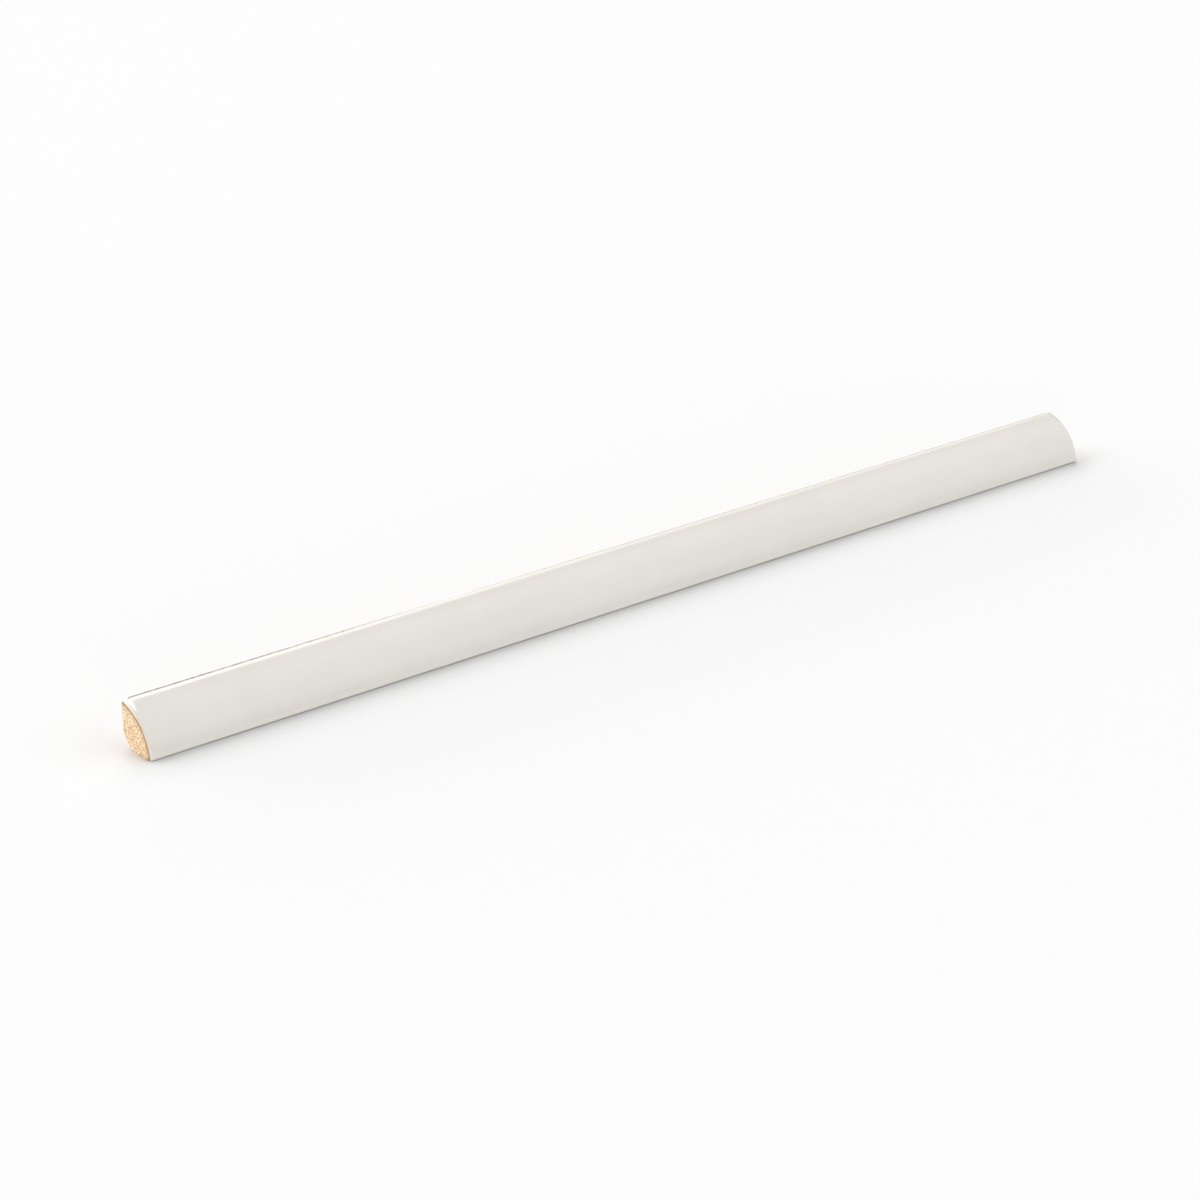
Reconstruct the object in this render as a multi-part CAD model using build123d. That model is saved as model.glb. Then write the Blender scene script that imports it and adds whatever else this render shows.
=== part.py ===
"""A glazed ceramic jolly trim tile: a long quarter-round strip that finishes the edge of tiled work.

The strip is pressed and fired as one piece. Its section has a bowed face that runs from a rounded toe up to
a rounded crown, a flat back that is bonded to the wall, a flat base, and a large heel that cuts off the
corner between the back and the base. X runs along the strip, Y from the bowed face to the back, and Z up.
The origin is in the middle of the strip's box, at the level of the base. Millimetres.
"""

import math
import os

from build123d import *

# The strip's outside size
LENGTH = 304.8
DEPTH = 11.4
HEIGHT = 12.0

# The bowed face, and the small rounds at its foot and its top
FACE_RADIUS = 14.3
TOE_ROUND = 0.6
CROWN_ROUND = 0.45

# The heel: how far from the toe it leaves the base, how far up the back it ends, and its softened edge
BASE_WIDTH = 6.9
HEEL_RISE = 5.6
HEEL_EDGE_ROUND = 1.0

# The edge all round each end, which the press and the glaze leave soft
END_ROUND = 0.4


def crossing(first_centre, first_radius, second_centre, second_radius):
    """Returns where two circles cross, on the right of the way from the first centre to the second."""
    apart = second_centre - first_centre
    along = (apart.length**2 + first_radius**2 - second_radius**2) / (2 * apart.length)
    aside = math.sqrt(first_radius**2 - along**2)
    forward = apart.normalized()
    return first_centre + forward * along + Vector(forward.Y, -forward.X) * aside


def section():
    """Returns the section as a face: its first axis runs from the toe to the back, its second axis up."""
    toe_centre = Vector(TOE_ROUND, TOE_ROUND)
    crown_centre = Vector(DEPTH - CROWN_ROUND, HEIGHT - CROWN_ROUND)
    face_centre = crossing(toe_centre, FACE_RADIUS - TOE_ROUND, crown_centre, FACE_RADIUS - CROWN_ROUND)
    face_foot = face_centre + (toe_centre - face_centre).normalized() * FACE_RADIUS
    face_top = face_centre + (crown_centre - face_centre).normalized() * FACE_RADIUS
    base_front = (TOE_ROUND, 0)
    back_top = (DEPTH, HEIGHT - CROWN_ROUND)
    back_foot = (DEPTH, HEEL_RISE)
    base_back = (BASE_WIDTH, 0)
    heel_depth = DEPTH - BASE_WIDTH
    heel_radius = (heel_depth**2 + HEEL_RISE**2) / (2 * heel_depth)
    outline = make_face(
        [
            RadiusArc(base_front, face_foot, TOE_ROUND),
            RadiusArc(face_foot, face_top, FACE_RADIUS),
            RadiusArc(face_top, back_top, CROWN_ROUND),
            Line(back_top, back_foot),
            RadiusArc(back_foot, base_back, heel_radius),
            Line(base_back, base_front),
        ]
    )
    heel_edge = outline.vertices().sort_by_distance(base_back)[0]
    return fillet(heel_edge, HEEL_EDGE_ROUND)


def trim_tile():
    """Returns the strip: the section drawn out to its length, with the edges of both ends softened."""
    start = Plane(origin=(-LENGTH / 2, -DEPTH / 2, 0), x_dir=(0, 1, 0), z_dir=(1, 0, 0))
    strip = extrude(start * section(), LENGTH)
    ends = strip.faces().filter_by(Axis.X)
    return fillet([edge for end in ends for edge in end.edges()], END_ROUND)


def main():
    """Builds the strip, prints what it measures and writes it."""
    strip = trim_tile()
    strip.label = "trim_tile"
    box = strip.bounding_box()
    middle = strip.center(CenterOf.MASS)
    print("lowest", box.min, "highest", box.max, "valid", strip.is_valid)
    print("volume", round(strip.volume, 1), "centre of mass", middle)
    flat = strip.faces().filter_by(Plane.XY).sort_by(Axis.Z)[0].bounding_box()
    print("the flat base reaches past the centre of mass by", round(flat.max.Y - middle.Y, 3))
    os.makedirs("parts", exist_ok=True)
    export_step(strip, "parts/trim_tile.step")


main()
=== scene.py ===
"""Dresses a glazed ceramic jolly trim tile: a pressed strip, glazed on its bowed face and bare clay behind.

X runs along the strip, Y from the bowed face to the back, and Z up. Lengths are in metres.
"""

import logging
import math
from dataclasses import dataclass, field
from enum import Enum

import bmesh
import bpy
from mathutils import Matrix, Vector, noise


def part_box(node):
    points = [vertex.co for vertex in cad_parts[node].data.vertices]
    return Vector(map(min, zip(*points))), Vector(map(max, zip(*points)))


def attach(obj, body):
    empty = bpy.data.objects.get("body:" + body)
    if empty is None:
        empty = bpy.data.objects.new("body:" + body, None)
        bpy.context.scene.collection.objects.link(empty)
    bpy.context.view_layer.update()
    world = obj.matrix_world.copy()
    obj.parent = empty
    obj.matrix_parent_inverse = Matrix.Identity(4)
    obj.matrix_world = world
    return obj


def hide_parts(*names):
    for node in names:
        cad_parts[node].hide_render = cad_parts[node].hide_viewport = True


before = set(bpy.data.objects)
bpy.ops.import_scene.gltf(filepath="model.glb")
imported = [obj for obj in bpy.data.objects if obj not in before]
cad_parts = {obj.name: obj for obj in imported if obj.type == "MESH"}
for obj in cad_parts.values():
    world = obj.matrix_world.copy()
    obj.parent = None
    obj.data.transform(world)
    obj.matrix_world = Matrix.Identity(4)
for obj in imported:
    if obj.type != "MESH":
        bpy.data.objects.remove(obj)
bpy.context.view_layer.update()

MM = 0.001
CROWN_STRETCH = 4
TONE_RANGE = (0.3, 0.7)
log = logging.getLogger("trim_tile")


def limited(value: float) -> float:
    """Returns the value, held between 0 and 1."""
    return min(1.0, max(0.0, value))


class Surface(Enum):
    """What covers a face of the strip. The value is the face's material slot."""

    GLAZE = 0
    CLAY = 1
    CROWN_LINE = 2


@dataclass(frozen=True)
class RimPoint:
    """One point of the section's outline.

    across and up are its place, out_across and out_up its outward direction, and run is how far along the
    outline it lies.
    """

    across: float
    up: float
    out_across: float
    out_up: float
    run: float


@dataclass(frozen=True)
class Bend:
    """A round stretch of the outline, turning anticlockwise about its centre. Angles are in degrees."""

    centre: tuple[float, float]
    radius: float
    start: float
    end: float
    steps: int

    def length(self) -> float:
        """Returns the length of the arc."""
        return self.radius * math.radians(self.end - self.start)

    def points(self, run: float) -> list[RimPoint]:
        """Places points along the arc, all but its last one.

        Args:
            run: How far along the outline the arc starts.

        Returns:
            The arc's points in order.
        """
        placed = []
        for step in range(self.steps):
            share = step / self.steps
            turn = math.radians(self.start + (self.end - self.start) * share)
            out = (math.cos(turn), math.sin(turn))
            across = self.centre[0] + self.radius * out[0]
            up = self.centre[1] + self.radius * out[1]
            placed.append(RimPoint(across, up, out[0], out[1], run + self.length() * share))
        return placed


@dataclass(frozen=True)
class Flat:
    """A straight stretch of the outline. facing is its outward direction."""

    start: tuple[float, float]
    end: tuple[float, float]
    facing: tuple[float, float]
    steps: int

    def length(self) -> float:
        """Returns the length of the stretch."""
        return math.dist(self.start, self.end)

    def points(self, run: float) -> list[RimPoint]:
        """Places points along the stretch, all but its last one.

        Args:
            run: How far along the outline the stretch starts.

        Returns:
            The stretch's points in order.
        """
        placed = []
        for step in range(self.steps):
            share = step / self.steps
            across = self.start[0] + (self.end[0] - self.start[0]) * share
            up = self.start[1] + (self.end[1] - self.start[1]) * share
            placed.append(RimPoint(across, up, self.facing[0], self.facing[1], run + self.length() * share))
        return placed


@dataclass(frozen=True)
class Section:
    """The strip's section: a bowed face between a rounded toe and crown, a flat back and base, and a heel.

    toe_lift is how far the toe's round starts above the floor. The glaze ends glaze_under_toe along the base
    and glaze_over_crown down the back. The dark brown line along the crown is crown_line_half_width to each
    side of a place that lies crown_line_place past the crown, and crown_line_soft is how wide its soft edges
    are.
    """

    depth: float
    height: float
    face_radius: float = 14.3 * MM
    toe_round: float = 0.42 * MM
    toe_lift: float = 0.14 * MM
    crown_round: float = 0.45 * MM
    base_width: float = 6.9 * MM
    heel_rise: float = 5.6 * MM
    heel_edge_round: float = 1.0 * MM
    glaze_under_toe: float = 0.7 * MM
    glaze_over_crown: float = 0.35 * MM
    crown_line_half_width: float = 0.26 * MM
    crown_line_place: float = 0.07 * MM
    crown_line_soft: float = 0.08 * MM
    crown_detail_deg: float = 1.6

    def face_centre(self) -> tuple[float, float]:
        """Finds the centre of the bowed face, which meets the toe and the crown without a step.

        Returns:
            The centre, across and up.
        """
        toe = Vector((self.toe_round, self.toe_round + self.toe_lift))
        crown = Vector((self.depth - self.crown_round, self.height - self.crown_round))
        to_toe = self.face_radius - self.toe_round
        to_crown = self.face_radius - self.crown_round
        apart = (crown - toe).length
        along = (apart**2 + to_toe**2 - to_crown**2) / (2 * apart)
        aside = math.sqrt(to_toe**2 - along**2)
        forward = (crown - toe).normalized()
        centre = toe + forward * along + Vector((forward.y, -forward.x)) * aside
        return centre.x, centre.y

    def stretches(self) -> list[Bend | Flat]:
        """Lists the outline's stretches anticlockwise, from the front of the base round to the toe.

        The crown is the one that CROWN_STRETCH counts to, from 0.

        Returns:
            The stretches in order.
        """
        face = self.face_centre()
        toe = (self.toe_round, self.toe_round + self.toe_lift)
        crown = (self.depth - self.crown_round, self.height - self.crown_round)
        top_turn = math.degrees(math.atan2(crown[1] - face[1], crown[0] - face[0]))
        toe_turn = math.degrees(math.atan2(toe[1] - face[1], toe[0] - face[0])) % 360
        heel_depth = self.depth - self.base_width
        heel_radius = (heel_depth**2 + self.heel_rise**2) / (2 * heel_depth)
        heel = (self.depth - heel_radius, self.heel_rise)
        edge_drop = self.heel_rise - self.heel_edge_round
        edge_reach = math.sqrt((heel_radius - self.heel_edge_round) ** 2 - edge_drop**2)
        edge = (heel[0] + edge_reach, self.heel_edge_round)
        edge_turn = -math.degrees(math.atan2(edge_drop, edge_reach))
        return [
            Flat((self.toe_round, self.toe_lift), (edge[0], 0), facing=(0, -1), steps=36),
            Bend(edge, self.heel_edge_round, -90, edge_turn, steps=4),
            Bend(heel, heel_radius, edge_turn, 0, steps=40),
            Flat((self.depth, self.heel_rise), (self.depth, crown[1]), facing=(1, 0), steps=34),
            Bend(crown, self.crown_round, 0, top_turn, steps=14),
            Bend(face, self.face_radius, top_turn, top_turn + self.crown_detail_deg, steps=9),
            Bend(face, self.face_radius, top_turn + self.crown_detail_deg, toe_turn, steps=94),
            Bend(toe, self.toe_round, toe_turn, 270, steps=12),
        ]

    def outline(self) -> list[RimPoint]:
        """Places the points of the whole outline.

        Returns:
            The outline's points, anticlockwise from the front of the base.
        """
        placed: list[RimPoint] = []
        run = 0.0
        for stretch in self.stretches():
            placed += stretch.points(run)
            run += stretch.length()
        return placed

    def lengths(self) -> list[float]:
        """Returns the length of each stretch."""
        return [stretch.length() for stretch in self.stretches()]

    def glaze_ends(self) -> tuple[float, float, float]:
        """Finds where the glaze stops: under the toe and over the crown.

        Returns:
            How far along the outline the glaze stops on the base, how far along it starts on the back, and
            the length of the whole outline.
        """
        lengths = self.lengths()
        crown_start = sum(lengths[:CROWN_STRETCH])
        return self.glaze_under_toe, crown_start - self.glaze_over_crown, sum(lengths)

    def cover(self, run: float) -> float:
        """Measures how far inside the glaze a place on the outline lies, below zero where the clay is bare.

        Args:
            run: How far along the outline the place lies.

        Returns:
            The distance to the nearer edge of the glaze.
        """
        under, over, whole = self.glaze_ends()
        if run < under:
            return under - run
        if run < over:
            return -min(run - under, over - run)
        return min(run - over, whole - run + under)

    def crown_gap(self, run: float) -> float:
        """Measures how far along the outline a place lies from the rounded crown.

        Args:
            run: How far along the outline the place lies.

        Returns:
            The distance, 0 on the crown.
        """
        lengths = self.lengths()
        start = sum(lengths[:CROWN_STRETCH])
        return max(0.0, start - run, run - start - lengths[CROWN_STRETCH])

    def crown_line_strength(self, run: float) -> float:
        """Says how strongly the dark brown line shows beside the edge where the crown meets the face.

        Args:
            run: How far along the outline the place lies.

        Returns:
            1 at the edge and 0 away from the line.
        """
        middle = sum(self.lengths()[:CROWN_STRETCH + 1]) + self.crown_line_place
        return limited((self.crown_line_half_width - abs(run - middle)) / self.crown_line_soft + 0.5)


class NodeBoard:
    """Places nodes on one node tree and joins them."""

    def __init__(self, tree: bpy.types.NodeTree) -> None:
        """Keeps the tree that the nodes go on."""
        self.tree = tree

    def add(self, kind: str, inputs: dict | None = None, **settings: object) -> bpy.types.Node:
        """Places one node.

        Args:
            kind: The node's type.
            inputs: What goes into its inputs, by name or number: a value, or another node's output.
            settings: The node's own settings.

        Returns:
            The node.
        """
        node = self.tree.nodes.new(kind)
        for name, value in settings.items():
            setattr(node, name, value)
        for name, value in (inputs or {}).items():
            self.feed(node.inputs[name], value)
        return node

    def feed(self, socket: bpy.types.NodeSocket, value: object) -> None:
        """Sets an input, or joins an output to it.

        Args:
            socket: The input.
            value: A value, or another node's output.
        """
        if isinstance(value, bpy.types.NodeSocket):
            self.tree.links.new(value, socket)
        else:
            socket.default_value = value

    def group(self, shared: bpy.types.NodeTree, values: dict[str, float]) -> bpy.types.Node:
        """Places a shared group with its own values.

        Args:
            shared: The shared group.
            values: The group's inputs, by name.

        Returns:
            The group's node.
        """
        node = self.add("ShaderNodeGroup", node_tree=shared)
        for name, value in values.items():
            self.feed(node.inputs[name], value)
        return node

    def maths(self, operation: str, *values: object, clamp: bool = False) -> bpy.types.NodeSocket:
        """Places a Math node.

        Args:
            operation: What it works out.
            values: Its values, or other nodes' outputs.
            clamp: Whether the result stays between 0 and 1.

        Returns:
            Its output.
        """
        inputs = dict(enumerate(values))
        return self.add("ShaderNodeMath", inputs, operation=operation, use_clamp=clamp).outputs[0]

    def ramp(
        self, value: object, low: float, high: float, out_low: float = 0, out_high: float = 1
    ) -> bpy.types.NodeSocket:
        """Places a smooth Map Range node.

        Args:
            value: What is mapped.
            low: The value that becomes out_low.
            high: The value that becomes out_high.
            out_low: The result at low.
            out_high: The result at high.

        Returns:
            Its output.
        """
        inputs = {"Value": value, "From Min": low, "From Max": high, "To Min": out_low, "To Max": out_high}
        return self.add("ShaderNodeMapRange", inputs, interpolation_type="SMOOTHSTEP").outputs[0]

    def blend(self, share: object, first: object, second: object, how: str = "MIX") -> bpy.types.NodeSocket:
        """Places a Mix node for colours.

        Args:
            share: How much of the second colour shows.
            first: The first colour.
            second: The second colour.
            how: The way the colours are mixed.

        Returns:
            Its output.
        """
        mix = self.add("ShaderNodeMix", data_type="RGBA", blend_type=how)
        self.feed(mix.inputs[0], share)
        self.feed(mix.inputs[6], first)
        self.feed(mix.inputs[7], second)
        return mix.outputs[2]

    def relief(self, height: object, strength: float, depth: float) -> bpy.types.NodeSocket:
        """Places a Bump node.

        Args:
            height: What stands up, from 0 to 1.
            strength: How strongly it shows.
            depth: How high it stands at 1.

        Returns:
            Its output.
        """
        inputs = {"Strength": strength, "Distance": depth, "Height": height}
        return self.add("ShaderNodeBump", inputs).outputs[0]


def colour(red: float, green: float, blue: float) -> tuple[float, float, float, float]:
    """Returns a colour as nodes take it."""
    return red, green, blue, 1.0


def open_material(name: str) -> tuple[bpy.types.Material, NodeBoard, bpy.types.Node]:
    """Makes a material with its shader.

    Args:
        name: The material's name.

    Returns:
        The material, a board to place its nodes on, and its shader.
    """
    made = bpy.data.materials.new(name)
    made.use_nodes = True
    return made, NodeBoard(made.node_tree), made.node_tree.nodes["Principled BSDF"]


def open_group(
    name: str, inputs: dict[str, float], outputs: list[str]
) -> tuple[bpy.types.NodeTree, NodeBoard]:
    """Makes an empty shader group with its named sockets.

    Args:
        name: The group's name.
        inputs: The inputs' names and usual values.
        outputs: The outputs' names.

    Returns:
        The group, and a board to place its nodes on.
    """
    group = bpy.data.node_groups.new(name, "ShaderNodeTree")
    for title, value in inputs.items():
        socket = group.interface.new_socket(name=title, in_out="INPUT", socket_type="NodeSocketFloat")
        socket.default_value = value
    for title in outputs:
        group.interface.new_socket(name=title, in_out="OUTPUT", socket_type="NodeSocketFloat")
    return group, NodeBoard(group)


@dataclass(frozen=True)
class GrainLook:
    """How coarse a finish's grain is: the scales of its lumps, specks and drift, and its specks' depth."""

    lumps: float
    specks: float
    drift: float
    speck_share: float


@dataclass(frozen=True)
class EdgeLook:
    """How the glaze's edge shows: how far it wanders, and its line's width and place, inwards of the edge."""

    wander: float
    width: float
    place: float = 0.0


@dataclass
class SharedEffects:
    """The effects that the finishes share, each a shader group that is built once."""

    grain: bpy.types.NodeTree = field(init=False)
    glaze_edge: bpy.types.NodeTree = field(init=False)

    def __post_init__(self) -> None:
        """Builds the groups."""
        self.grain = self.build_grain()
        self.glaze_edge = self.build_glaze_edge()

    def build_grain(self) -> bpy.types.NodeTree:
        """Builds the grain of pressed powder: soft lumps with finer specks in them.

        Returns:
            The group. Height is the relief, Tone wanders slowly, and Speck marks single grains.
        """
        inputs = {"Lump Scale": 1200.0, "Speck Scale": 3000.0, "Drift Scale": 120.0, "Speck Share": 0.5}
        group, board = open_group("ceramic grain", inputs, ["Height", "Tone", "Speck"])
        given = board.add("NodeGroupInput").outputs
        place = board.add("ShaderNodeTexCoord").outputs["Object"]
        lump_inputs = {"Vector": place, "Scale": given["Lump Scale"], "Detail": 3.0, "Roughness": 0.6}
        lumps = board.add("ShaderNodeTexNoise", lump_inputs).outputs[0]
        speck_inputs = {"Vector": place, "Scale": given["Speck Scale"], "Randomness": 1.0}
        specks = board.add("ShaderNodeTexVoronoi", speck_inputs, feature="F1")
        drift_inputs = {"Vector": place, "Scale": given["Drift Scale"], "Detail": 2.0}
        drift = board.add("ShaderNodeTexNoise", drift_inputs).outputs[0]
        pit = board.maths("MULTIPLY", specks.outputs["Distance"], given["Speck Share"])
        height = board.maths("SUBTRACT", lumps, pit)
        grain_tone = board.add("ShaderNodeSeparateColor", {0: specks.outputs["Color"]}).outputs[0]
        results = {"Height": height, "Tone": drift, "Speck": grain_tone}
        board.add("NodeGroupOutput", results)
        return group

    def build_glaze_edge(self) -> bpy.types.NodeTree:
        """Builds the edge of the glaze, which wanders a little and leaves a brown line.

        Returns:
            The group. Line marks the brown line, and Crown Line marks the dark brown line along the crown.
        """
        inputs = {"Wander": 0.08 * MM, "Line Width": 0.25 * MM, "Line Place": 0.0}
        group, board = open_group("glaze edge", inputs, ["Line", "Crown Line"])
        given = board.add("NodeGroupInput").outputs
        place = board.add("ShaderNodeTexCoord").outputs["Object"]
        inside = board.add("ShaderNodeAttribute", attribute_name="glaze_cover").outputs["Fac"]
        wave = board.add("ShaderNodeTexNoise", {"Vector": place, "Scale": 900.0, "Detail": 2.0}).outputs[0]
        shift = board.maths("MULTIPLY", board.maths("SUBTRACT", wave, 0.5), given["Wander"])
        wandering = board.maths("ADD", inside, shift)
        crown_line_along = board.add("ShaderNodeAttribute", attribute_name="crown_line_mark").outputs["Fac"]
        uneven = board.ramp(wave, low=0.25, high=0.75, out_low=0.6, out_high=1.15)
        crown_line_share = board.maths("MULTIPLY", crown_line_along, uneven, clamp=True)
        from_line = board.maths("ABSOLUTE", board.maths("SUBTRACT", wandering, given["Line Place"]))
        line = board.ramp(from_line, 0.0, given["Line Width"], out_low=1.0, out_high=0.0)
        board.add("NodeGroupOutput", {"Line": line, "Crown Line": crown_line_share})
        return group

    def place_grain(self, board: NodeBoard, look: GrainLook) -> bpy.types.bpy_prop_collection:
        """Places the grain on a finish's board.

        Args:
            board: The finish's board.
            look: How coarse the grain is.

        Returns:
            The group's outputs.
        """
        scales = {"Lump Scale": look.lumps, "Speck Scale": look.specks, "Drift Scale": look.drift}
        return board.group(self.grain, scales | {"Speck Share": look.speck_share}).outputs

    def place_edge(self, board: NodeBoard, look: EdgeLook) -> bpy.types.bpy_prop_collection:
        """Places the glaze's edge on a finish's board.

        Args:
            board: The finish's board.
            look: How the edge shows.

        Returns:
            The group's outputs.
        """
        values = {"Wander": look.wander, "Line Width": look.width, "Line Place": look.place}
        return board.group(self.glaze_edge, values).outputs


@dataclass(frozen=True)
class WhiteGlaze:
    """A warm white gloss glaze that turns brown at the end edges, with a dark brown line along the crown."""

    body_colour: tuple[float, float, float] = (0.822, 0.792, 0.738)
    pooled_colour: tuple[float, float, float] = (0.807, 0.777, 0.723)
    crown_line_colour: tuple[float, float, float] = (0.36, 0.27, 0.21)
    edge_colour: tuple[float, float, float] = (0.38, 0.25, 0.14)
    roughness: float = 0.06
    roughness_swing: float = 0.15
    index: float = 1.58
    pool_range: tuple[float, float] = (0.35, 0.65)
    ripple_depth: float = 0.0015 * MM
    grain: GrainLook = GrainLook(lumps=260.0, specks=900.0, drift=60.0, speck_share=0.05)
    edge: EdgeLook = EdgeLook(wander=0.1 * MM, width=0.16 * MM)

    def material(self, effects: SharedEffects) -> bpy.types.Material:
        """Makes the material.

        Args:
            effects: The shared shader groups.

        Returns:
            The material.
        """
        made, board, shader = open_material("white_glaze")
        grain = effects.place_grain(board, self.grain)
        edge = effects.place_edge(board, self.edge)
        drift = board.ramp(grain["Tone"], *self.pool_range)
        plain = board.blend(drift, colour(*self.body_colour), colour(*self.pooled_colour))
        with_crown_line = board.blend(edge["Crown Line"], plain, colour(*self.crown_line_colour))
        edged = board.blend(edge["Line"], with_crown_line, colour(*self.edge_colour))
        board.feed(shader.inputs["Base Color"], edged)
        smoothest = self.roughness * (1 - self.roughness_swing)
        roughest = self.roughness * (1 + self.roughness_swing)
        board.feed(shader.inputs["Roughness"], board.ramp(grain["Tone"], *TONE_RANGE, smoothest, roughest))
        shader.inputs["IOR"].default_value = self.index
        board.feed(shader.inputs["Normal"], board.relief(grain["Height"], 1.0, self.ripple_depth))
        return made


@dataclass(frozen=True)
class CrownLineGlaze:
    """The dark brown line along the crown, rough and with little shine."""

    whole_colour: tuple[float, float, float] = (0.822, 0.792, 0.738)
    brown: tuple[float, float, float] = (0.30, 0.22, 0.165)
    dark_brown: tuple[float, float, float] = (0.21, 0.15, 0.11)
    specular: float = 0.15
    roughness_range: tuple[float, float] = (0.6, 0.8)
    relief_strength: float = 0.5
    relief_depth: float = 0.01 * MM
    grain: GrainLook = GrainLook(lumps=900.0, specks=2400.0, drift=300.0, speck_share=0.3)
    edge: EdgeLook = EdgeLook(wander=0.1 * MM, width=0.16 * MM)

    def material(self, effects: SharedEffects) -> bpy.types.Material:
        """Makes the material.

        Args:
            effects: The shared shader groups.

        Returns:
            The material.
        """
        made, board, shader = open_material("crown_line_glaze")
        grain = effects.place_grain(board, self.grain)
        edge = effects.place_edge(board, self.edge)
        mottled = board.blend(grain["Speck"], colour(*self.brown), colour(*self.dark_brown))
        crown_lined = board.blend(edge["Crown Line"], colour(*self.whole_colour), mottled)
        board.feed(shader.inputs["Base Color"], crown_lined)
        rough = board.ramp(grain["Tone"], *TONE_RANGE, *self.roughness_range)
        board.feed(shader.inputs["Roughness"], rough)
        shader.inputs["Specular IOR Level"].default_value = self.specular
        relief = board.relief(grain["Height"], self.relief_strength, self.relief_depth)
        board.feed(shader.inputs["Normal"], relief)
        return made


@dataclass(frozen=True)
class FiredClay:
    """Bare buff clay, fired but not glazed: grainy, browner along the glaze, with painted shade on back and
    base.
    """

    cream: tuple[float, float, float] = (0.93, 0.78, 0.56)
    tan: tuple[float, float, float] = (0.62, 0.39, 0.20)
    rust: tuple[float, float, float] = (0.50, 0.28, 0.13)
    line_colour: tuple[float, float, float] = (0.36, 0.20, 0.09)
    # painted shade for the back and base, which the lamps behind light strongly
    back_shade_tint: tuple[float, float, float] = (0.74, 0.70, 0.68)
    cream_range: tuple[float, float] = (0.25, 0.8)
    rust_range: tuple[float, float] = (0.96, 1.0)
    toast_share: float = 0.4
    roughness_range: tuple[float, float] = (0.8, 0.95)
    relief_strength: float = 0.6
    relief_depth: float = 0.12 * MM
    grain: GrainLook = GrainLook(lumps=1900.0, specks=3300.0, drift=260.0, speck_share=0.6)
    edge: EdgeLook = EdgeLook(wander=0.16 * MM, width=0.3 * MM, place=-0.06 * MM)
    halo: EdgeLook = EdgeLook(wander=0.7 * MM, width=1.3 * MM, place=-0.2 * MM)

    def material(self, effects: SharedEffects) -> bpy.types.Material:
        """Makes the material.

        Args:
            effects: The shared shader groups.

        Returns:
            The material.
        """
        made, board, shader = open_material("fired_clay")
        grain = effects.place_grain(board, self.grain)
        edge = effects.place_edge(board, self.edge)
        halo = effects.place_edge(board, self.halo)
        light_grain = board.ramp(grain["Speck"], *self.cream_range)
        mottled = board.blend(light_grain, colour(*self.tan), colour(*self.cream))
        rusty = board.blend(board.ramp(grain["Speck"], *self.rust_range), mottled, colour(*self.rust))
        toast = board.maths("MULTIPLY", halo["Line"], self.toast_share)
        toasted = board.blend(toast, rusty, colour(*self.rust))
        stained = board.blend(edge["Line"], toasted, colour(*self.line_colour))
        # painted shade: the clay on the back and base is multiplied darker than on the end faces
        pressed = board.add("ShaderNodeAttribute", attribute_name="painted_back_shade").outputs["Fac"]
        shaded_clay = board.blend(pressed, stained, colour(*self.back_shade_tint), "MULTIPLY")
        board.feed(shader.inputs["Base Color"], shaded_clay)
        rough = board.ramp(grain["Tone"], *TONE_RANGE, *self.roughness_range)
        board.feed(shader.inputs["Roughness"], rough)
        relief = board.relief(grain["Height"], self.relief_strength, self.relief_depth)
        board.feed(shader.inputs["Normal"], relief)
        return made


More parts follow.
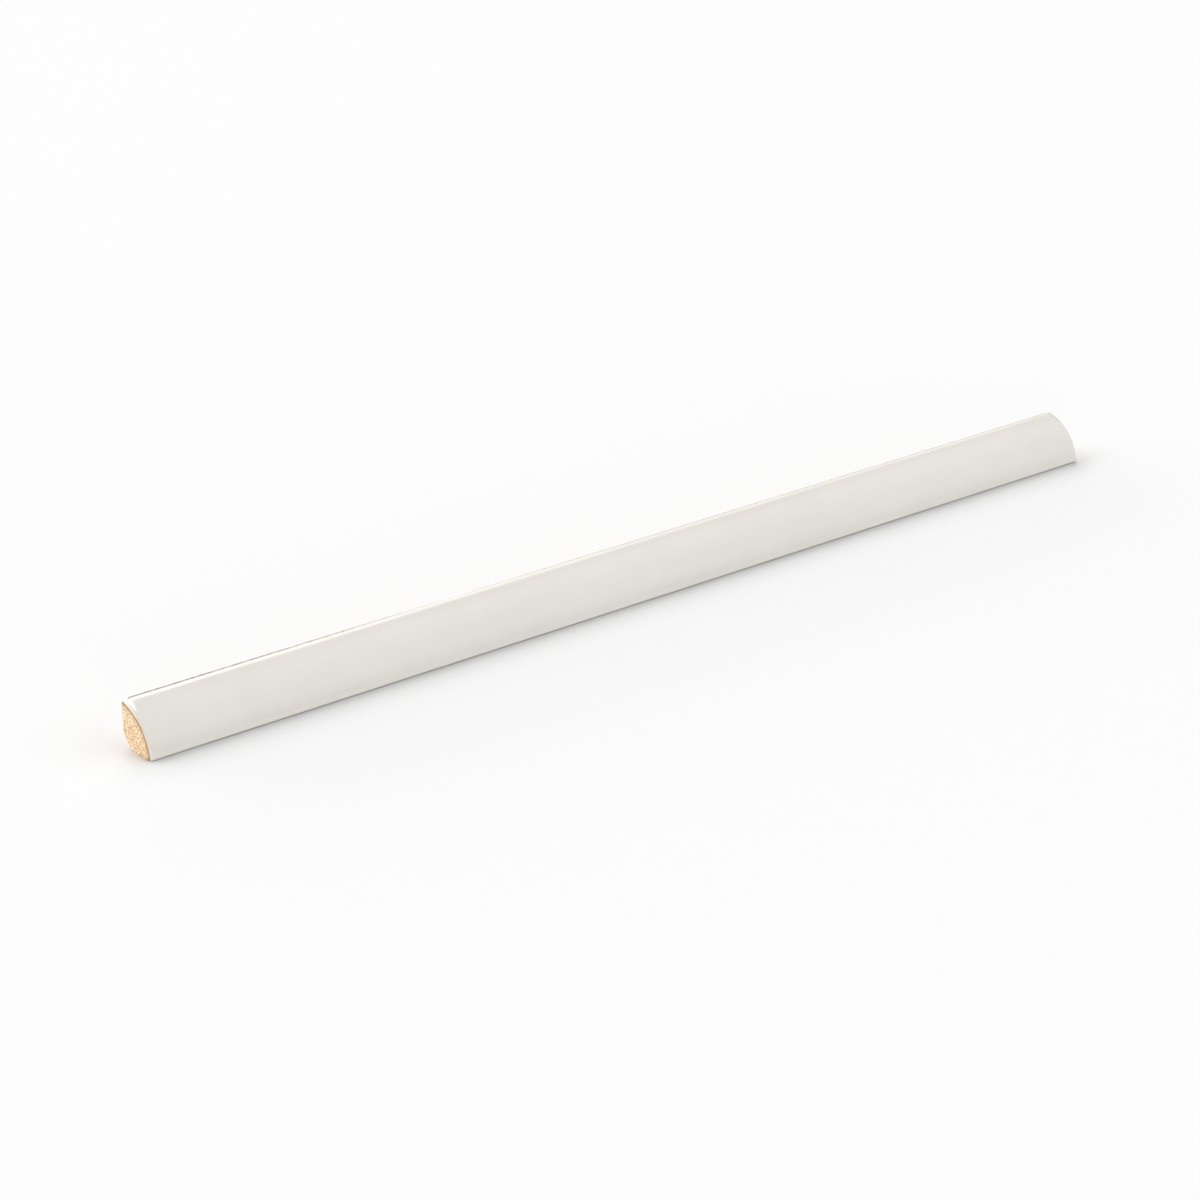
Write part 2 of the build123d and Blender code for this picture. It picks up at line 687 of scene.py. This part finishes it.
@dataclass
class TrimTile:
    """The strip itself: its section drawn out to its length, with softened end edges and grainy end faces.

    The names that end in scale are waves per millimetre. The corner sizes shape the narrow bevel at the top
    corners. The crown line sizes say how much of the dark brown line shows along the crown: crown_line_start
    at the first end, falling to crown_line_rest at crown_line_settled_at from it, with a gap round
    crown_line_gap_at, and none by the ends.
    """

    section: Section
    length: float
    glazed_end_round: float = 0.55 * MM
    crown_end_round: float = 0.38 * MM
    crown_end_ease: float = 0.2
    bare_end_round: float = 0.16 * MM
    round_blend: float = 0.7 * MM
    round_steps: int = 7
    middle_step: float = 2.2 * MM
    end_rings: int = 44
    end_zone: float = 3.0 * MM
    corner_rings: int = 14
    corner_zone: float = 2.2 * MM
    end_relief: float = 0.05 * MM
    end_relief_fade: float = 0.25 * MM
    end_lump_scale: float = 2.2
    end_grain_scale: float = 4.5
    clay_relief: float = 0.02 * MM
    clay_scale: float = 1.3
    glaze_swell: float = 0.006 * MM
    swell_scale: float = 0.09
    side_relief_fade: float = 1.0 * MM
    end_skin: float = 0.06 * MM
    # painted shade on the back and base: how far from the ends it starts, and how far it fades in
    back_shade_from: float = 0.09 * MM
    back_shade_fade: float = 0.3 * MM
    corner_width: float = 2.0 * MM
    corner_reach: float = 4.0 * MM
    corner_slope: float = 0.22
    crown_line_start: float = 0.92
    crown_line_rest: float = 0.32
    crown_line_settled_at: float = 130 * MM
    crown_line_gap_at: float = 93 * MM
    crown_line_gap_half: float = 26 * MM
    crown_line_gap_depth: float = 0.8
    crown_line_fade: float = 0.8 * MM
    crown_line_stop: float = 1.0 * MM
    crown_line_from: float = 0.08
    rim: list[RimPoint] = field(init=False)

    def __post_init__(self) -> None:
        """Places the outline's points."""
        self.rim = self.section.outline()

    def end_round(self, point: RimPoint) -> float:
        """Finds how round the end edge is beside a point of the outline: soft on glaze, crisp on bare clay.

        Args:
            point: The point.

        Returns:
            The radius of the end edge there.
        """
        share = limited(self.section.cover(point.run) / self.round_blend + 0.5)
        eased = share * share * (3 - 2 * share)
        grown = self.crown_end_round + self.crown_end_ease * self.section.crown_gap(point.run)
        glazed = min(self.glazed_end_round, grown)
        return self.bare_end_round + (glazed - self.bare_end_round) * eased

    def crown_line_along(self, along: float) -> float:
        """Says how strongly the dark brown line along the crown shows along the strip.

        Args:
            along: The distance from the middle of the strip.

        Returns:
            The share of the full effect, which dips at one place and fades at the ends.
        """
        from_start = along + self.length / 2
        settled = min(1.0, from_start / self.crown_line_settled_at)
        share = self.crown_line_start + (self.crown_line_rest - self.crown_line_start) * settled
        dip = math.exp(-(((from_start - self.crown_line_gap_at) / self.crown_line_gap_half) ** 2))
        fade = limited((self.length / 2 - abs(along) - self.crown_line_stop) / self.crown_line_fade)
        return share * (1 - self.crown_line_gap_depth * dip) * fade

    def corner_drop(self, point: RimPoint, along: float) -> float:
        """Finds how far the glaze falls away at the strip's top corners, where it ends in a narrow bevel.

        Args:
            point: The outline's point there.
            along: The distance from the middle of the strip.

        Returns:
            The drop, 0 away from the corners.
        """
        share = max(0.0, 1 - (self.section.height - point.up) / self.corner_reach)
        from_end = self.length / 2 - abs(along)
        return self.corner_slope * max(0.0, self.corner_width * share - from_end)

    def side_place(self, point: RimPoint, along: float, inset: float) -> Vector:
        """Finds a point on the strip's sides, sunk a little where the clay is uneven.

        Args:
            point: The outline's point there.
            along: The distance from the middle of the strip.
            inset: How far in from the full outline the point lies.

        Returns:
            The place in the strip's frame.
        """
        probe = Vector((along, point.across, point.up)) / MM
        if self.section.cover(point.run) > 0:
            sink = self.glaze_swell * (0.5 + 0.5 * noise.noise(probe * self.swell_scale))
        else:
            fine = noise.fractal(probe * self.clay_scale, 0.9, 2.0, 3)
            sink = self.clay_relief * limited(0.5 + 0.5 * fine)
        sink *= limited((self.length / 2 - abs(along)) / self.side_relief_fade)
        across = point.across - point.out_across * (inset + sink)
        up = point.up - point.out_up * (inset + sink) - self.corner_drop(point, along)
        return Vector((along, across - self.section.depth / 2, max(up, 0.0)))

    def ring(self, along: float) -> list[Vector]:
        """Places one ring of the straight middle of the strip.

        Args:
            along: The distance from the middle of the strip.

        Returns:
            The ring's points.
        """
        return [self.side_place(point, along, 0.0) for point in self.rim]

    def edge_ring(self, side: int, step: int) -> list[Vector]:
        """Places one ring of a softened end edge.

        Args:
            side: Which end, -1 or 1.
            step: The ring's number, from 0 on the side faces to round_steps on the end face.

        Returns:
            The ring's points.
        """
        turn = math.pi / 2 * step / self.round_steps
        placed = []
        for point in self.rim:
            radius = self.end_round(point)
            along = self.length / 2 - radius * (1 - math.sin(turn))
            placed.append(self.side_place(point, side * along, radius * (1 - math.cos(turn))))
        return placed

    def end_face_ring(self, side: int, outer: list[Vector], share: float, heart: Vector) -> list[Vector]:
        """Places one ring of an end face, with the relief of the broken grain.

        Args:
            side: Which end, -1 or 1.
            outer: The ring round the edge of the end face.
            share: How far the ring has come from the edge to the heart, from 0 to 1.
            heart: The middle of the end face.

        Returns:
            The ring's points.
        """
        placed = []
        for edge in outer:
            flat = edge.lerp(heart, share)
            probe = flat / MM
            coarse = noise.noise(probe * self.end_lump_scale)
            fine = noise.fractal(probe * self.end_grain_scale + Vector((7, 3, 5)), 0.8, 2.0, 3)
            depth = limited(0.45 + 0.5 * coarse + 0.45 * fine)
            from_edge = limited((edge - flat).length / self.end_relief_fade)
            flat.x = side * (self.length / 2 - self.end_relief * depth * from_edge)
            placed.append(flat)
        return placed

    def rings(self) -> list[list[Vector]]:
        """Places every ring of the strip, from the heart of one end face to the heart of the other.

        Returns:
            The rings in order.
        """
        start_edge = [self.edge_ring(-1, step) for step in range(self.round_steps, -1, -1)]
        finish_edge = [self.edge_ring(1, step) for step in range(self.round_steps + 1)]
        half = self.length / 2 - self.end_zone
        count = round(2 * half / self.middle_step)
        places = [-half + 2 * half * number / count for number in range(count + 1)]
        shares = [number / self.corner_rings for number in range(1, self.corner_rings + 1)]
        near_end = [half + self.corner_zone * share for share in shares]
        places = [-place for place in reversed(near_end)] + places + near_end
        middle = [self.ring(place) for place in places]
        return [
            *self.end_face(-1, start_edge[0])[::-1],
            *start_edge,
            *middle,
            *finish_edge,
            *self.end_face(1, finish_edge[-1]),
        ]

    def end_face(self, side: int, outer: list[Vector]) -> list[list[Vector]]:
        """Places the rings of one end face.

        Args:
            side: Which end, -1 or 1.
            outer: The ring round its edge.

        Returns:
            The rings from the edge inwards, without the edge itself.
        """
        heart = sum(outer, Vector()) / len(outer)
        shares = [ring / self.end_rings for ring in range(1, self.end_rings)]
        return [self.end_face_ring(side, outer, share, heart) for share in shares]

    def surface_of(self, centre: Vector, point: RimPoint) -> Surface:
        """Says what covers a face.

        Args:
            centre: The middle of the face.
            point: The outline's point beside it.

        Returns:
            The surface.
        """
        on_end = abs(centre.x) > self.length / 2 - self.end_skin
        if on_end or self.section.cover(point.run) <= 0:
            return Surface.CLAY
        crown_lined = self.section.crown_line_strength(point.run) * self.crown_line_along(centre.x)
        return Surface.CROWN_LINE if crown_lined > self.crown_line_from else Surface.GLAZE

    def end_cover(self, place: Vector, glazed: list[Vector]) -> float:
        """Measures how far a place on an end face lies from the glazed edge, below zero."""
        return -min((place - edge).length for edge in glazed)

    def mark(self, mesh: bmesh.types.BMesh, rings: list[list[Vector]]) -> list[list[bmesh.types.BMVert]]:
        """Lays the rings' vertices and marks each with what its finish needs to know.

        Args:
            mesh: The mesh.
            rings: The rings' places.

        Returns:
            The vertices, ring by ring.
        """
        cover = mesh.verts.layers.float.new("glaze_cover")
        crown_line_share = mesh.verts.layers.float.new("crown_line_mark")
        # marks the back and base for the clay's painted shade
        pressed = mesh.verts.layers.float.new("painted_back_shade")
        inner = self.end_rings - 1
        rows = [[mesh.verts.new(place) for place in ring] for ring in rings]
        for number, row in enumerate(rows):
            end_row = number < inner or number >= len(rows) - inner
            outer = rings[inner] if number < inner else rings[len(rings) - inner - 1]
            glazed = [place for place, point in zip(outer, self.rim) if self.section.cover(point.run) > 0]
            for point, vertex in zip(self.rim, row):
                if end_row:
                    vertex[cover] = self.end_cover(vertex.co, glazed)
                    continue
                to_end = self.length / 2 - abs(vertex.co.x)
                vertex[cover] = min(self.section.cover(point.run), to_end)
                vertex[crown_line_share] = self.section.crown_line_strength(point.run) * self.crown_line_along(vertex.co.x)
                # painted shade: full on the back and base, fading out by the ends
                vertex[pressed] = limited((to_end - self.back_shade_from) / self.back_shade_fade)
        return rows

    def join(self, mesh: bmesh.types.BMesh, rows: list[list[bmesh.types.BMVert]]) -> None:
        """Joins each ring to the next with faces.

        Args:
            mesh: The mesh.
            rows: The vertices, ring by ring.
        """
        count = len(self.rim)
        for row, following in zip(rows, rows[1:]):
            for i, point in enumerate(self.rim):
                j = (i + 1) % count
                face = mesh.faces.new((row[i], following[i], following[j], row[j]))
                face.smooth = True
                face.material_index = self.surface_of(face.calc_center_median(), point).value

    def close(self, mesh: bmesh.types.BMesh, row: list[bmesh.types.BMVert]) -> None:
        """Closes the heart of an end face.

        Args:
            mesh: The mesh.
            row: The innermost ring's vertices.
        """
        cover = mesh.verts.layers.float["glaze_cover"]
        count = len(row)
        heart = mesh.verts.new(sum((vertex.co for vertex in row), Vector()) / count)
        heart[cover] = min(vertex[cover] for vertex in row)
        for i in range(count):
            face = mesh.faces.new((row[i], row[(i + 1) % count], heart))
            face.smooth = True
            face.material_index = Surface.CLAY.value

    def build(self, finishes: list[bpy.types.Material]) -> bpy.types.Object:
        """Builds the strip as one closed mesh and dresses it.

        Args:
            finishes: The materials, in the order of Surface.

        Returns:
            The strip.
        """
        mesh = bmesh.new()
        rows = self.mark(mesh, self.rings())
        self.join(mesh, rows)
        self.close(mesh, rows[0])
        self.close(mesh, rows[-1])
        bmesh.ops.recalc_face_normals(mesh, faces=mesh.faces)
        data = bpy.data.meshes.new("glazed_trim")
        mesh.to_mesh(data)
        mesh.free()
        for finish in finishes:
            data.materials.append(finish)
        piece = bpy.data.objects.new("glazed_trim", data)
        bpy.context.collection.objects.link(piece)
        return piece


@dataclass(frozen=True)
class LightPanel:
    """An upright light panel, far off so that its light is even over the floor. Angles are in degrees.

    heading is the way that it stands in, turned from +Y towards +X. left and right are how far its side
    edges stand from that way, low and high are how far its lower and upper edges stand above the floor, and
    a radiance of 1 is plain white.
    """

    name: str
    heading: float
    left: float
    right: float
    low: float
    high: float
    radiance: float
    far: float = 30.0

    def hang(self) -> bpy.types.Object:
        """Hangs the panel.

        Returns:
            The lamp.
        """
        angles = (self.left, self.right, self.low, self.high)
        left, right, bottom, top = (self.far * math.tan(math.radians(angle)) for angle in angles)
        data = bpy.data.lights.new(self.name, "AREA")
        data.shape = "RECTANGLE"
        data.size = right - left
        data.size_y = top - bottom
        data.energy = self.radiance * math.pi * data.size * data.size_y
        lamp = bpy.data.objects.new(self.name, data)
        turn = math.radians(self.heading)
        forward = Vector((math.sin(turn), math.cos(turn), 0))
        aside = Vector((math.cos(turn), -math.sin(turn), 0))
        lamp.location = forward * self.far + aside * (left + right) / 2 + Vector((0, 0, (bottom + top) / 2))
        lamp.rotation_euler = (math.radians(-90), 0, -turn)
        bpy.context.collection.objects.link(lamp)
        return lamp


@dataclass(frozen=True)
class Studio:
    """The pale floor, the soft light and the camera."""

    floor_half: float = 20.0
    floor_gap: float = 0.01 * MM
    floor_colour: tuple[float, float, float] = (0.802, 0.802, 0.802)
    focal_length_mm: float = 102.578
    sensor_mm: float = 36.0
    camera_place: tuple[float, float, float] = (-0.51924, -0.61157, 0.33671)
    camera_pitch_deg: float = 22.937
    camera_heading_deg: float = 39.475
    fill_strength: float = 0.03
    pool_heading_deg: float = 129.0
    pool_height_deg: float = 39.0
    pool_inner_deg: float = 5.0
    pool_outer_deg: float = 48.0
    pool_radiance: float = 1.6
    panels: tuple[LightPanel, ...] = (
        LightPanel("back_low_panel", heading=-12.5, left=-61, right=61, low=1.5, high=15, radiance=4.3),
        LightPanel("back_middle_panel", heading=-12.5, left=-61, right=61, low=15, high=30, radiance=0.8),
        LightPanel("back_high_panel", heading=-12.5, left=-61, right=61, low=30, high=60, radiance=3.2),
        LightPanel("back_corner_panel", heading=-12.5, left=20, right=62.5, low=60, high=72.5, radiance=3.2),
        LightPanel("next_corner_panel", heading=-12.5, left=62.5, right=67, low=60, high=72.5, radiance=2.4),
        LightPanel("far_corner_panel", heading=-12.5, left=67, right=76, low=60, high=72.5, radiance=1.6),
        LightPanel("back_top_panel", heading=-12.5, left=20, right=50, low=72.5, high=78, radiance=3.2),
        LightPanel("high_panel", heading=58, left=-24, right=30, low=68, high=83.5, radiance=3.4),
        LightPanel("low_front_panel", heading=212, left=-42, right=42, low=0.5, high=14, radiance=2.9),
        LightPanel("low_left_panel", heading=273, left=-18, right=18, low=0.5, high=12, radiance=2.5),
        LightPanel("left_panel", heading=270, left=-20, right=20, low=32, high=58, radiance=0.9),
    )

    def build(self) -> list[bpy.types.Object]:
        """Builds the studio.

        Returns:
            The stage's objects.
        """
        self.place_camera()
        self.light()
        return [self.floor()]

    def floor(self) -> bpy.types.Object:
        """Builds the floor.

        Returns:
            The floor.
        """
        mesh = bmesh.new()
        bmesh.ops.create_grid(mesh, x_segments=1, y_segments=1, size=self.floor_half)
        data = bpy.data.meshes.new("studio_floor")
        mesh.to_mesh(data)
        mesh.free()
        made, _, shader = open_material("matt_floor")
        shader.inputs["Base Color"].default_value = colour(*self.floor_colour)
        shader.inputs["Roughness"].default_value = 1.0
        shader.inputs["Specular IOR Level"].default_value = 0.0
        data.materials.append(made)
        floor = bpy.data.objects.new("studio_floor", data)
        floor.location.z = -self.floor_gap
        bpy.context.collection.objects.link(floor)
        return floor

    def place_camera(self) -> None:
        """Places the camera at the photograph's viewing angle."""
        data = bpy.data.cameras.new("camera")
        data.lens = self.focal_length_mm
        data.sensor_width = self.sensor_mm
        camera = bpy.data.objects.new("camera", data)
        camera.location = self.camera_place
        camera.rotation_euler = (
            math.radians(90 - self.camera_pitch_deg), 0, -math.radians(self.camera_heading_deg))
        bpy.context.collection.objects.link(camera)
        bpy.context.scene.camera = camera

    def light(self) -> None:
        """Hangs the lamps, and sets a weak fill with one soft pool of light on the right."""
        world = bpy.data.worlds.new("studio")
        world.use_nodes = True
        board = NodeBoard(world.node_tree)
        background = world.node_tree.nodes["Background"]
        heading, height = math.radians(self.pool_heading_deg), math.radians(self.pool_height_deg)
        level = math.cos(height)
        middle = (math.sin(heading) * level, math.cos(heading) * level, math.sin(height))
        way = board.add("ShaderNodeTexCoord").outputs["Generated"]
        product = board.add("ShaderNodeVectorMath", {0: way, 1: middle}, operation="DOT_PRODUCT")
        nearness = product.outputs["Value"]
        outer, inner = (math.cos(math.radians(edge)) for edge in (self.pool_outer_deg, self.pool_inner_deg))
        brightness = board.ramp(nearness, outer, inner, self.fill_strength, self.pool_radiance)
        board.feed(background.inputs["Color"], colour(1, 1, 1))
        board.feed(background.inputs["Strength"], brightness)
        bpy.context.scene.world = world
        for panel in self.panels:
            panel.hang()
        bpy.context.scene.view_settings.view_transform = "Standard"


def main() -> None:
    """Builds the strip and the studio, and reports each piece."""
    logging.basicConfig(level=logging.INFO, format="%(message)s")
    effects = SharedEffects()
    finishes = [finish.material(effects) for finish in (WhiteGlaze(), FiredClay(), CrownLineGlaze())]
    lowest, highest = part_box("trim_tile")
    size = highest - lowest
    tile = TrimTile(Section(depth=size.y, height=size.z), length=size.x)
    piece = tile.build(finishes)
    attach(piece, "root")
    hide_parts("trim_tile")
    log.info("%s has %d faces", piece.name, len(piece.data.polygons))
    for stage in Studio().build():
        log.info("%s is on the stage", stage.name)


if __name__ == "__main__":
    main()
